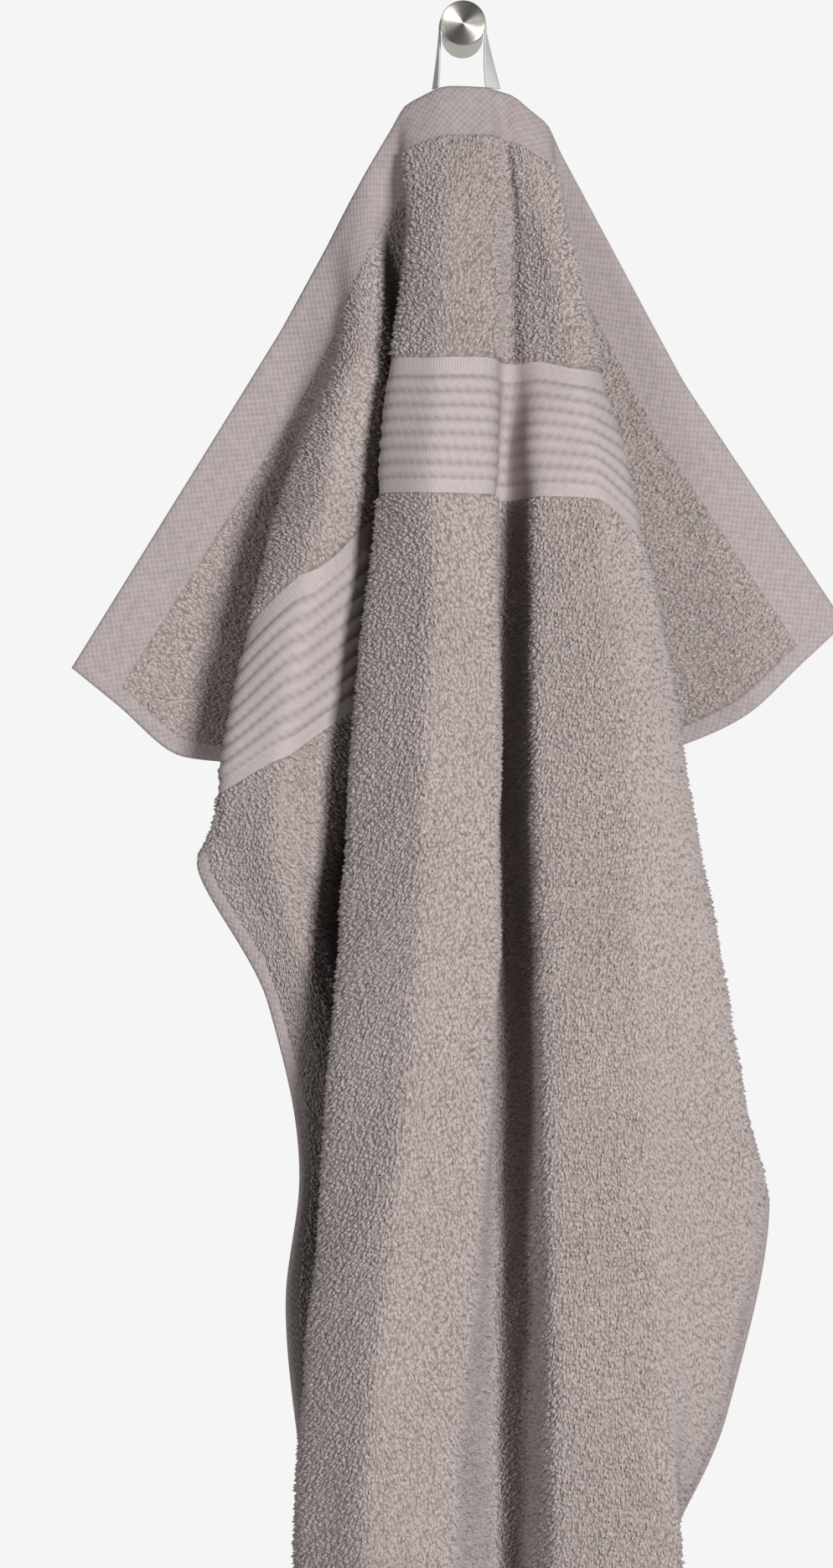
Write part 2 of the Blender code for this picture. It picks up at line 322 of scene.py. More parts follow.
@dataclass(frozen=True)
class CottonTape:
    """Narrow woven cotton tape, unbleached white, with a fine twill line."""

    light: str = "#d8d5d6"
    dark: str = "#bfbbbc"
    rib_mm: float = 0.7

    def material(self) -> bpy.types.Material:
        """Builds fine slanted ribs along the tape.

        Returns:
            The material.
        """
        material, tree, shader = new_material("cotton_tape")
        across, down, _ = weave_axes(tree)
        slant = math_node(tree, "ADD", across, math_node(tree, "MULTIPLY", down, 0.6))
        rib = math_node(tree, "SINE", math_node(tree, "MULTIPLY", slant, 2 * math.pi / self.rib_mm))
        height = math_node(tree, "MULTIPLY_ADD", rib, 0.5, 0.5)
        tree.links.new(ramp(tree, height, {0.0: self.dark, 0.8: self.light}), shader.inputs["Base Color"])
        bump = add_node(tree, "ShaderNodeBump", {"Height": height, "Strength": 0.5, "Distance": 0.15 * MM})
        tree.links.new(bump.outputs["Normal"], shader.inputs["Normal"])
        set_sockets(shader, Roughness=0.85, Specular_IOR_Level=0.25)
        return material


@dataclass(frozen=True)
class BrushedSteel:
    """Stainless steel, turned on a lathe: fine rings on the face smear its reflections into two fans."""

    face_colour: str = "#c9c5c0"
    side_colour: str = "#aea89d"
    mark_colour: str = "#a39e96"
    ring_mm: float = 0.28
    roughness: float = 0.38
    uneven: float = 0.12

    def material(self, smear: float) -> bpy.types.Material:
        """Builds the steel.

        Args:
            smear: how far the turning marks stretch a reflection, from 0 to 1.

        Returns:
            The material.
        """
        face = smear > 0.5
        material, tree, shader = new_material("turned_steel_face" if face else "turned_steel_side")
        place = add_node(tree, "ShaderNodeTexCoord").outputs["Object"]
        apart = add_node(tree, "ShaderNodeSeparateXYZ", {"Vector": place})
        flat = add_node(tree, "ShaderNodeCombineXYZ", {"X": apart.outputs["X"], "Y": apart.outputs["Z"]})
        radius = add_node(tree, "ShaderNodeVectorMath", {0: flat.outputs["Vector"]}, operation="LENGTH")
        rings = {"W": radius.outputs["Value"], "Scale": 1 / (self.ring_mm * MM), "Detail": 2.0}
        marks = add_node(tree, "ShaderNodeTexNoise", rings, noise_dimensions="1D").outputs["Fac"]
        tone = self.face_colour if face else self.side_colour
        colour = ramp(tree, marks, {0.3: self.mark_colour, 0.7: tone})
        tree.links.new(colour, shader.inputs["Base Color"])
        rough = math_node(tree, "MULTIPLY_ADD", marks, self.uneven, self.roughness - self.uneven / 2)
        tree.links.new(rough, shader.inputs["Roughness"])
        bump = add_node(tree, "ShaderNodeBump", {"Height": marks, "Strength": 0.25, "Distance": 0.02 * MM})
        tree.links.new(bump.outputs["Normal"], shader.inputs["Normal"])
        tangent = add_node(tree, "ShaderNodeTangent", direction_type="RADIAL", axis="Y")
        tree.links.new(tangent.outputs["Tangent"], shader.inputs["Tangent"])
        set_sockets(shader, Metallic=1.0, Anisotropic=smear, Anisotropic_Rotation=0.25)
        return material


# Distances down the cloth, from the top hem, at which every fold is measured, in millimetres
STATIONS = (0.0, 20.0, 50.0, 100.0, 130.0, 168.0, 225.0, 290.0, 335.0, 410.0, 500.0)

# One row for each fold, left to right. At each station: (across, out from the wall, below the knob's axis)
FOLDS = {
    "left_edge": ((-141, 9, 229), (-125, 9, 242), (-101, 10, 261), (-63, 9, 266), (-75, 19, 286),
                  (-94, 36, 299), (-69, 33, 349), (-58, 31, 411), (-63, 28, 456), (-56, 25, 529),
                  (-50, 21, 612)),
    "corner_fold": ((-66, 8, 108), (-62, 9, 142), (-56, 10, 187), (-50, 11, 250), (-72, 28, 272),
                    (-91, 38, 296), (-65, 35, 344), (-53, 29, 405), (-54, 24, 450), (-48, 20, 522),
                    (-42, 16, 606)),
    "panel_edge": ((-50, 9, 79), (-45, 17, 112), (-59, 30, 156), (-75, 38, 216), (-82, 41, 254),
                   (-86, 41, 292), (-61, 37, 337), (-47, 27, 398), (-43, 18, 443), (-38, 15, 515),
                   (-32, 13, 600)),
    "panel_crown": ((-43, 10, 66), (-40, 22, 98), (-44, 38, 138), (-54, 50, 196), (-60, 52, 236),
                    (-66, 51, 284), (-56, 38, 330), (-40, 24, 391), (-31, 14, 436), (-26, 13, 508),
                    (-20, 11, 592)),
    "panel_turn": ((-35, 11, 51), (-32, 18, 79), (-28, 29, 118), (-33, 34, 177), (-36, 36, 219),
                   (-40, 36, 265), (-50, 33, 323), (-30, 20, 383), (-14, 11, 426), (-10, 11, 498),
                   (-6, 10, 582)),
    "gap_floor": ((-31, 11, 44), (-28, 12, 71), (-24, 13, 112), (-29, 17, 171), (-31, 17, 211),
                  (-34, 17, 257), (-42, 17, 316), (-16, 13, 374), (3, 10, 416), (5, 10, 488), (6, 9, 573)),
    "hidden_fold": ((-26, 12, 36), (-20, 13, 60), (-9, 14, 95), (1, 18, 149), (2, 19, 187), (2, 19, 227),
                    (3, 19, 292), (10, 15, 358), (18, 12, 404), (20, 12, 477), (20, 11, 565)),
    "column_edge": ((-20, 14, 27), (-20, 20, 46), (-19, 29, 71), (-24, 43, 122), (-27, 48, 151),
                    (-31, 52, 189), (-36, 57, 246), (-41, 60, 311), (-44, 62, 356), (-50, 60, 431),
                    (-56, 58, 521)),
    "column_crown": ((-7, 17, 21), (-7, 25, 41), (-7, 37, 69), (-9, 57, 122), (-10, 65, 151),
                     (-11, 71, 189), (-13, 77, 245), (-15, 79, 310), (-18, 80, 356), (-26, 81, 431),
                     (-34, 80, 521)),
    "column_turn": ((8, 16, 21), (9, 23, 41), (10, 33, 70), (9, 53, 122), (9, 60, 151), (9, 65, 189),
                    (10, 68, 245), (10, 69, 310), (8, 69, 356), (3, 68, 431), (-4, 67, 521)),
    "valley": ((13, 14, 22), (15, 17, 42), (17, 22, 70), (16, 37, 122), (14, 33, 151), (13, 31, 189),
               (12, 30, 245), (13, 29, 310), (13, 28, 357), (13, 28, 432), (12, 28, 522)),
    "ridge_turn": ((18, 15, 24), (20, 19, 43), (23, 25, 71), (27, 43, 122), (27, 49, 151), (26, 53, 189),
                   (26, 57, 245), (28, 59, 310), (29, 60, 357), (31, 60, 432), (33, 59, 522)),
    "ridge_crown": ((24, 15, 29), (26, 20, 47), (30, 28, 73), (40, 47, 125), (44, 52, 153), (49, 57, 190),
                    (57, 63, 247), (59, 64, 312), (60, 64, 359), (65, 63, 434), (71, 62, 524)),
    "flank_fold": ((30, 14, 34), (33, 18, 52), (37, 25, 78), (48, 37, 127), (57, 40, 163), (67, 42, 211),
                   (79, 43, 280), (92, 43, 352), (99, 42, 402), (91, 46, 470), (71, 50, 537)),
    "back_fold": ((36, 11, 45), (32, 11, 78), (24, 11, 125), (12, 10, 200), (10, 10, 241), (14, 13, 279),
                  (66, 33, 298), (88, 35, 363), (103, 37, 409), (93, 41, 479), (70, 40, 552)),
    "corner_sheet": ((80, 8, 126), (70, 8, 147), (54, 8, 175), (34, 7, 236), (21, 7, 263), (10, 11, 284),
                     (53, 23, 316), (84, 28, 374), (106, 33, 415), (92, 35, 487), (66, 30, 566)),
    "right_edge": ((138, 8, 213), (123, 8, 227), (101, 9, 247), (56, 8, 266), (30, 7, 279), (3, 8, 294),
                   (38, 15, 335), (80, 22, 386), (108, 30, 421), (93, 28, 495), (61, 22, 580)),
}


def unit(vectors: np.ndarray) -> np.ndarray:
    """Scales each vector of an array to a length of one."""
    return vectors / (np.linalg.norm(vectors, axis=-1, keepdims=True) + 1e-9)


@dataclass
class Drape:
    """The middle surface of the hanging towel, as a smooth skin over the net of folds."""

    width: float = 500.0
    length: float = 700.0
    foot_spread: float = 1.05
    turn_gap: float = 2.2
    small_gap: float = 1.0
    most_of_panel: float = 0.3
    samples: int = 10
    broad_ripple: float = 0.55
    slow_ripple: float = 0.45
    fine_ripple: float = 0.25
    calm_edge: float = 18.0
    calm_top: float = 6.0

    def __post_init__(self) -> None:
        """Reads the net and runs a curve across the towel at each station."""
        net = np.array([FOLDS[name] for name in FOLDS], float).transpose(1, 0, 2)
        net = np.stack([net[..., 0], -net[..., 1], -net[..., 2]], axis=-1)
        foot = net[-1].copy()
        foot[:, 0] *= self.foot_spread
        foot[:, 2] -= self.length - STATIONS[-1]
        net = np.concatenate([net, foot[None]])
        self.stations = np.array(STATIONS + (self.length,))
        fold_lines = unit(np.gradient(net, self.stations, axis=0))
        turned = [self.with_turns(row, lines) for row, lines in zip(net, fold_lines)]
        self.rows = np.array([self.curve(points) for points in turned])

    def with_turns(self, row: np.ndarray, fold_lines: np.ndarray) -> np.ndarray:
        """Gives each fold of a row two points, further apart where the cloth turns back on itself.

        Args:
            row: one point for each fold.
            fold_lines: the way each fold runs down the cloth there.

        Returns:
            The points of the row's curve.
        """
        points = [row[0]]
        for i in range(1, len(row) - 1):
            sides = [row[j] - row[i] for j in (i - 1, i + 1)]
            before, after = (unit(side - (side @ fold_lines[i]) * fold_lines[i]) for side in sides)
            sharpness = (1.0 + before @ after) / 2.0
            room = min(np.linalg.norm(side) for side in sides)
            gap = min(self.small_gap + self.turn_gap * sharpness, self.most_of_panel * room)
            through = unit((1.0 - sharpness) * unit(row[i + 1] - row[i - 1]) + sharpness * (after - before))
            points += [row[i] - through * gap, row[i] + through * gap]
        return np.array(points + [row[-1]])

    def curve(self, points: np.ndarray) -> np.ndarray:
        """Runs a centripetal Catmull-Rom curve through points.

        Args:
            points: what the curve passes through.

        Returns:
            The curve's samples, the same number between every two points.
        """
        p = np.concatenate([2 * points[:1] - points[1:2], points, 2 * points[-1:] - points[-2:-1]])
        steps = np.arange(self.samples)[:, None] / self.samples
        pieces = []
        for a, b, c, d in zip(p, p[1:], p[2:], p[3:]):
            spans = [max(float(np.linalg.norm(y - x)), 1e-6) ** 0.5 for x, y in ((a, b), (b, c), (c, d))]
            t = np.cumsum([0.0] + spans)
            u = t[1] + (t[2] - t[1]) * steps
            ab, bc, cd = (((t[i + 1] - u) * x + (u - t[i]) * y) / (t[i + 1] - t[i])
                          for i, (x, y) in enumerate(((a, b), (b, c), (c, d))))
            left = ((t[2] - u) * ab + (u - t[0]) * bc) / (t[2] - t[0])
            right = ((t[3] - u) * bc + (u - t[1]) * cd) / (t[3] - t[1])
            pieces.append(((t[2] - u) * left + (u - t[1]) * right) / (t[2] - t[1]))
        return np.concatenate(pieces + [points[-1:]])

    def down(self, lines: np.ndarray) -> np.ndarray:
        """Joins the rows by curves that never swing past a station.

        Args:
            lines: distances down the cloth.

        Returns:
            The whole row at each of those distances.
        """
        gaps = np.diff(self.stations)[:, None, None]
        slopes = np.diff(self.rows, axis=0) / gaps
        tangents = np.zeros_like(self.rows)
        tangents[0], tangents[-1] = slopes[0], slopes[-1]
        before, after = slopes[:-1], slopes[1:]
        near, far = 2 * gaps[1:] + gaps[:-1], gaps[1:] + 2 * gaps[:-1]
        same = before * after > 0
        share = near / np.where(same, before, 1.0) + far / np.where(same, after, 1.0)
        tangents[1:-1] = np.where(same, (near + far) / share, 0.0)
        i = np.clip(np.searchsorted(self.stations, lines, side="right") - 1, 0, len(gaps) - 1)
        h = gaps[i]
        s = (lines - self.stations[i])[:, None, None] / h
        return ((2 * s**3 - 3 * s**2 + 1) * self.rows[i] + (s**3 - 2 * s**2 + s) * h * tangents[i]
                + (3 * s**2 - 2 * s**3) * self.rows[i + 1] + (s**3 - s**2) * h * tangents[i + 1])

    def grid(self, across: np.ndarray,
             lines: np.ndarray) -> tuple[np.ndarray, np.ndarray, np.ndarray, np.ndarray]:
        """Reads the drape on a grid of cloth positions.

        Args:
            across: distances from the left edge of the flat cloth.
            lines: distances down it.

        Returns:
            Points, then the unit vectors across the cloth, down it and out of its face.
        """
        rows = self.down(lines)
        length = np.linalg.norm(np.diff(rows, axis=1), axis=2).cumsum(axis=1)
        length = np.pad(length, ((0, 0), (1, 0)))
        length *= self.width / length[:, -1:]
        points = np.empty((len(lines), len(across), 3))
        for row, known, out in zip(rows, length, points):
            for axis in range(3):
                out[:, axis] = np.interp(across, known, row[:, axis])
        along = unit(np.gradient(points, across, axis=1))
        down = unit(np.gradient(points, lines, axis=0))
        normal = unit(np.cross(down, along))
        points = points + normal * self.ripples(across, lines)[..., None]
        return points, along, down, normal

    def ripples(self, across: np.ndarray, lines: np.ndarray) -> np.ndarray:
        """The cloth's soft unevenness, in millimetres out of its face.

        Args:
            across: distances from the left edge.
            lines: distances down the cloth.

        Returns:
            A height for each grid point, nothing at the sides and the foot and little at the top hem.
        """
        u, v = np.meshgrid(across, lines)
        broad = np.sin(u / 8.3 + 1.7 * np.sin(v / 61.0)) * np.sin(v / 37.0 + 0.8 * np.sin(u / 33.0))
        slow = np.sin(v / 14.1 + 2.1 * np.sin(u / 41.0)) * np.sin(u / 21.0 + v / 55.0)
        fine = np.sin(u / 4.9 + v / 9.7 + 1.3 * np.sin(v / 23.0))
        height = self.broad_ripple * broad + self.slow_ripple * slow + self.fine_ripple * fine
        edge = np.minimum(np.minimum(u, self.width - u), np.minimum(v + self.calm_top, self.length - v))
        return height * np.clip(edge / self.calm_edge, 0.0, 1.0)


@dataclass
class TowelCloth:
    """The woven sheet: terry ground, flat strip, ribbed band and hems, as one closed skin."""

    drape: Drape
    strip: float = 19.0
    band_top: float = 100.0
    band_bottom: float = 150.0
    rib_first: float = 107.5
    rib_last: float = 144.0
    ribs: int = 7
    rib_height: float = 0.8
    hem: float = 6.0
    ground_half: float = 0.9
    flat_half: float = 0.75
    hem_half: float = 1.15
    rim_share: float = 0.45
    rim_round: float = 1.8
    step: float = 0.6
    columns: int = 166

    def lines_across(self) -> np.ndarray:
        """Distances from the left edge where the mesh has columns, with each hem's edge among them."""
        hem = np.array([0.0, 1.0, 3.0, 5.0, self.hem, self.hem + 0.8])
        middle = np.linspace(self.hem + 3.0, self.drape.width - self.hem - 3.0, self.columns)
        return np.concatenate([hem, middle, (self.drape.width - hem)[::-1]])

    def lines_down(self) -> np.ndarray:
        """Distances from the top hem where the mesh has lines: close over the ribs, wide on the terry."""
        bands = (
            (0.0, 1.0, 1),
            (1.0, self.strip - self.step, 8),
            (self.strip - self.step, self.strip + self.step, 1),
            (self.strip + self.step, self.band_top - self.step, 26),
            (self.band_top - self.step, self.band_top + self.step, 1),
            (self.band_top + self.step, self.band_bottom - self.step, 84),
            (self.band_bottom - self.step, self.band_bottom + self.step, 1),
            (self.band_bottom + self.step, 330.0, 52),
            (330.0, 690.0, 66),
            (690.0, self.drape.length, 4),
        )
        parts = [np.linspace(start, end, count, endpoint=False) for start, end, count in bands]
        return np.concatenate(parts + [[self.drape.length]])

    def rib_pitch(self) -> float:
        """The distance from rib to rib."""
        return (self.rib_last - self.rib_first) / self.ribs

    def half_thickness(self, across: np.ndarray, lines: np.ndarray) -> np.ndarray:
        """Half of the cloth's thickness at each grid point, in millimetres.

        Args:
            across: distances from the left edge.
            lines: distances down the cloth.

        Returns:
            One value for each grid point.
        """
        u, v = np.meshgrid(across, lines)
        half = np.full(u.shape, self.ground_half)
        flat = (v < self.strip) | ((v > self.band_top) & (v < self.band_bottom))
        half[flat] = self.flat_half
        in_ribs = (v > self.rib_first) & (v < self.rib_last)
        rib = np.abs(np.sin(np.pi * (v - self.rib_first) / self.rib_pitch())) ** 0.7
        half += np.where(in_ribs, self.rib_height * rib, 0.0)
        from_side = np.minimum(u, self.drape.width - u)
        hemmed = (from_side < self.hem) | (v > self.drape.length - self.hem)
        half[hemmed] = self.hem_half
        rim = np.minimum(from_side, np.minimum(v, self.drape.length - v))
        return half * np.clip(self.rim_share + rim / self.rim_round, 0.0, 1.0)

    def weave_at(self, across: float, line: float) -> Weave:
        """Which weave a place on the flat cloth has."""
        if min(across, self.drape.width - across) < self.hem or line > self.drape.length - self.hem:
            return Weave.HEM
        if line < self.strip:
            return Weave.STRIP
        if self.band_top < line < self.band_bottom:
            return Weave.BAND
        return Weave.TERRY

    def build(self) -> bpy.types.Object:
        """Makes the sheet with its two faces, its rim, its map of the flat cloth and its weaves.

        Returns:
            The cloth object.
        """
        across, lines = self.lines_across(), self.lines_down()
        points, _, _, normal = self.drape.grid(across, lines)
        half = self.half_thickness(across, lines)[..., None]
        rows, columns = len(lines), len(across)
        count = rows * columns
        faces_of_cloth = (points + normal * half, points - normal * half)
        vertices = np.concatenate([skin.reshape(-1, 3) for skin in faces_of_cloth])
        index = np.arange(count).reshape(rows, columns)
        quads = np.stack([index[:-1, :-1], index[1:, :-1], index[1:, 1:], index[:-1, 1:]], axis=-1)
        quads = quads.reshape(-1, 4)
        around = np.concatenate([index[0], index[1:, -1], index[-1, -2::-1], index[-2:0:-1, 0]])
        ahead = np.roll(around, -1)
        rim = np.stack([around, ahead, ahead + count, around + count], axis=-1)
        faces = np.concatenate([quads, quads[:, ::-1] + count, rim])
        mesh = bpy.data.meshes.new("towel_cloth")
        mesh.from_pydata((vertices * MM).tolist(), [], faces.tolist())
        self.map_cloth(mesh, across, lines)
        terry, flat = TerryCotton().ground(), FlatWeave().material()
        band = RibbedWeave().material(self.rib_first, self.rib_last, self.rib_pitch())
        finishes = {Weave.TERRY: terry, Weave.STRIP: flat, Weave.BAND: band, Weave.HEM: flat}
        for weave in Weave:
            mesh.materials.append(finishes[weave])
        mid_u, mid_v = (across[:-1] + across[1:]) / 2, (lines[:-1] + lines[1:]) / 2
        weaves = np.array([[self.weave_at(u, v).value for u in mid_u] for v in mid_v]).ravel()
        rim_weaves = np.full(len(rim), Weave.HEM.value)
        mesh.polygons.foreach_set("material_index", np.concatenate([weaves, weaves, rim_weaves]))
        mesh.shade_smooth()
        mesh.update()
        cloth = bpy.data.objects.new("towel_cloth", mesh)
        bpy.context.scene.collection.objects.link(cloth)
        return cloth

    def map_cloth(self, mesh: bpy.types.Mesh, across: np.ndarray, lines: np.ndarray) -> None:
        """Writes each corner's place on the flat cloth, in metres, to the map that the weaves read.

        Args:
            mesh: the cloth's mesh.
            across: its columns.
            lines: its lines.
        """
        u, v = np.meshgrid(across, lines)
        flat = np.stack([u, v], axis=-1).reshape(-1, 2) * MM
        flat = np.concatenate([flat, flat])
        corners = np.empty(len(mesh.loops), dtype=np.int32)
        mesh.loops.foreach_get("vertex_index", corners)
        layer = mesh.uv_layers.new(name="cloth")
        layer.data.foreach_set("uv", flat[corners].ravel().astype(np.float32))


@dataclass
class Pile:
    """The terry loops, as small leaning tufts in rows on both faces of the cloth, closer on its front."""

    cloth: TowelCloth
    face_pitch: tuple[float, float] = (1.3, 1.35)
    back_pitch: tuple[float, float] = (2.0, 2.0)
    foot_width: float = 0.5
    foot_length: float = 0.85
    height: float = 1.35
    height_spread: float = 0.3
    sunk: float = 0.25
    lean: float = 0.5
    margin: float = 0.7
    hem_margin: float = 0.9
    seed: int = 7

    def fields(self) -> list[tuple[Side, str, list[tuple[float, float]]]]:
        """The pieces that the pile is made in: face, name and stretches down the cloth."""
        top = (self.cloth.strip + self.margin, self.cloth.band_top - self.margin)
        first = self.cloth.band_bottom + self.margin
        last = self.cloth.drape.length - self.cloth.hem - self.hem_margin
        return [
            (Side.FACE, "upper", [top, (first, 250.0)]),
            (Side.FACE, "middle", [(250.0, 470.0)]),
            (Side.FACE, "lower", [(470.0, last)]),
            (Side.BACK, "upper", [top, (first, 400.0)]),
            (Side.BACK, "lower", [(400.0, last)]),
        ]

    def build(self, side: Side, name: str, stretches: list[tuple[float, float]],
              material: bpy.types.Material) -> bpy.types.Object:
        """Plants the tufts of some stretches on one face.

        Args:
            side: the face of the cloth.
            name: the field's name.
            stretches: the first and last distance down the cloth of each stretch.
            material: the pile's finish.

        Returns:
            One object that holds them all.
        """
        chance = np.random.default_rng(self.seed + int(stretches[0][1]) + int(side.value))
        parts = [self.tufts(side, start, end, chance) for start, end in stretches]
        vertices = np.concatenate([part[0] for part in parts])
        tones = np.concatenate([part[1] for part in parts])
        count = len(vertices) // 4
        pattern = np.array([[0, 1, 3], [1, 2, 3], [2, 0, 3]])
        if side is Side.BACK:
            pattern = pattern[:, ::-1]
        faces = (np.arange(count)[:, None, None] * 4 + pattern).reshape(-1, 3)
        full_name = f"pile_{side.name.lower()}_{name}"
        mesh = bpy.data.meshes.new(full_name)
        mesh.vertices.add(len(vertices))
        mesh.vertices.foreach_set("co", (vertices * MM).ravel())
        mesh.loops.add(faces.size)
        mesh.loops.foreach_set("vertex_index", faces.ravel().astype(np.int32))
        mesh.polygons.add(len(faces))
        mesh.polygons.foreach_set("loop_start", np.arange(0, faces.size, 3, dtype=np.int32))
        mesh.attributes.new("tone", "FLOAT", "POINT").data.foreach_set("value", tones.astype(np.float32))
        mesh.materials.append(material)
        mesh.update(calc_edges=True)
        mesh.shade_smooth()
        pile = bpy.data.objects.new(full_name, mesh)
        bpy.context.scene.collection.objects.link(pile)
        return pile

    def nap(self, across: np.ndarray, lines: np.ndarray) -> np.ndarray:
        """Which way wide patches of the pile are brushed, from -1 to 1 for each tuft."""
        u, v = np.meshgrid(across, lines)
        patches = np.sin(u / 9.0 + 2.0 * np.sin(v / 31.0)) * np.sin(v / 12.0 + 1.6 * np.sin(u / 27.0))
        return 0.6 * patches + 0.4 * np.sin(u / 23.0 - v / 39.0 + 2.0 * np.sin(v / 57.0))

    def tufts(self, side: Side, start: float, end: float,
              chance: np.random.Generator) -> tuple[np.ndarray, np.ndarray]:
        """Shapes the tufts between two distances down the cloth.

        Args:
            side: the face of the cloth.
            start: the first row's distance down.
            end: where the next stretch starts.
            chance: the seeded source of unevenness.

        Returns:
            Four vertices and four tones for each tuft: three round its foot and its tip.
        """
        pitch = self.face_pitch if side is Side.FACE else self.back_pitch
        hem = self.cloth.hem + self.hem_margin
        across = np.arange(hem, self.cloth.drape.width - hem, pitch[0])
        lines = np.arange(start, end, pitch[1])
        points, along, down, normal = self.cloth.drape.grid(across, lines)
        shape = points.shape[:2] + (1,)
        out = normal * side.value
        nap = self.nap(across, lines)[..., None]
        spread = chance.uniform(-1.0, 1.0, shape[:2] + (4,))
        foot = points + along * spread[..., :1] * pitch[0] * 0.55
        foot = foot + down * spread[..., 1:2] * pitch[1] * 0.5 + out * (self.cloth.ground_half - self.sunk)
        size = chance.uniform(0.8, 1.25, shape)
        tall = np.clip(self.height + self.height_spread * chance.normal(0.0, 1.0, shape), 0.5, 2.1)
        turn = chance.uniform(0.0, 2 * math.pi, shape)
        fall = self.lean + 0.35 * nap + 0.5 * spread[..., 2:3]
        tip = foot + out * tall + down * fall + along * (0.25 * nap + 0.5 * spread[..., 3:])
        corners = []
        for third in range(3):
            angle = turn + third * 2 * math.pi / 3
            corners.append(foot + size * (pitch[0] * self.foot_width * np.sin(angle) * along
                                          + pitch[1] * self.foot_length * np.cos(angle) * down))
        vertices = np.stack(corners + [tip], axis=2)
        # tone differs at random from tuft to tuft; the nap term adds painted light and shade of the brushed
        # patches
        tone = np.clip(chance.normal(0.7, 0.13, shape[:2]) + 0.1 * nap[..., 0], 0.15, 1.0)
        # painted shade: the three foot corners get a darker tone than the tip
        tones = np.stack([tone * 0.45] * 3 + [tone], axis=2)
        return vertices.reshape(-1, 3), tones.reshape(-1)


@dataclass
class HemStitches:
    """The double row of stitches that holds each long hem, on both faces."""

    cloth: TowelCloth
    rows: tuple[float, ...] = (1.7, 4.6)
    pitch: float = 3.2
    stitch: float = 2.3
    thread: float = 0.42
    bead: float = 0.4
    margin: float = 4.0

    def build(self, material: bpy.types.Material) -> bpy.types.Object:
        """Lays every stitch as a small raised bead with pointed ends.

        Args:
            material: the thread's finish.

        Returns:
            One object that holds them all.
        """
        width = self.cloth.drape.width
        across = np.array(sorted(self.rows + tuple(width - row for row in self.rows)))
        lines = np.arange(self.margin, self.cloth.drape.length - self.margin, self.pitch)
        points, along, down, normal = self.cloth.drape.grid(across, lines)
        beads = []
        for side in Side:
            out = normal * side.value
            middle = points + out * (self.cloth.hem_half - 0.05)
            ends = [middle + down * self.stitch * way / 2 - out * 0.15 for way in (-1, 1)]
            flanks = [middle + along * self.thread * way for way in (-1, 1)]
            top = middle + out * self.bead
            beads.append(np.stack([ends[0], flanks[0], ends[1], flanks[1], top], axis=2))
        vertices = np.stack(beads).reshape(-1, 3)
        count = len(vertices) // 5
        face_count = count // 2
        pattern = np.array([[0, 1, 4], [1, 2, 4], [2, 3, 4], [3, 0, 4]])
        starts = np.arange(count)[:, None, None] * 5
        faces = np.concatenate([starts[:face_count] + pattern, starts[face_count:] + pattern[:, ::-1]])
        mesh = bpy.data.meshes.new("hem_stitches")
        mesh.from_pydata((vertices * MM).tolist(), [], faces.reshape(-1, 3).tolist())
        mesh.materials.append(material)
        mesh.shade_smooth()
        stitches = bpy.data.objects.new("hem_stitches", mesh)
        bpy.context.scene.collection.objects.link(stitches)
        return stitches


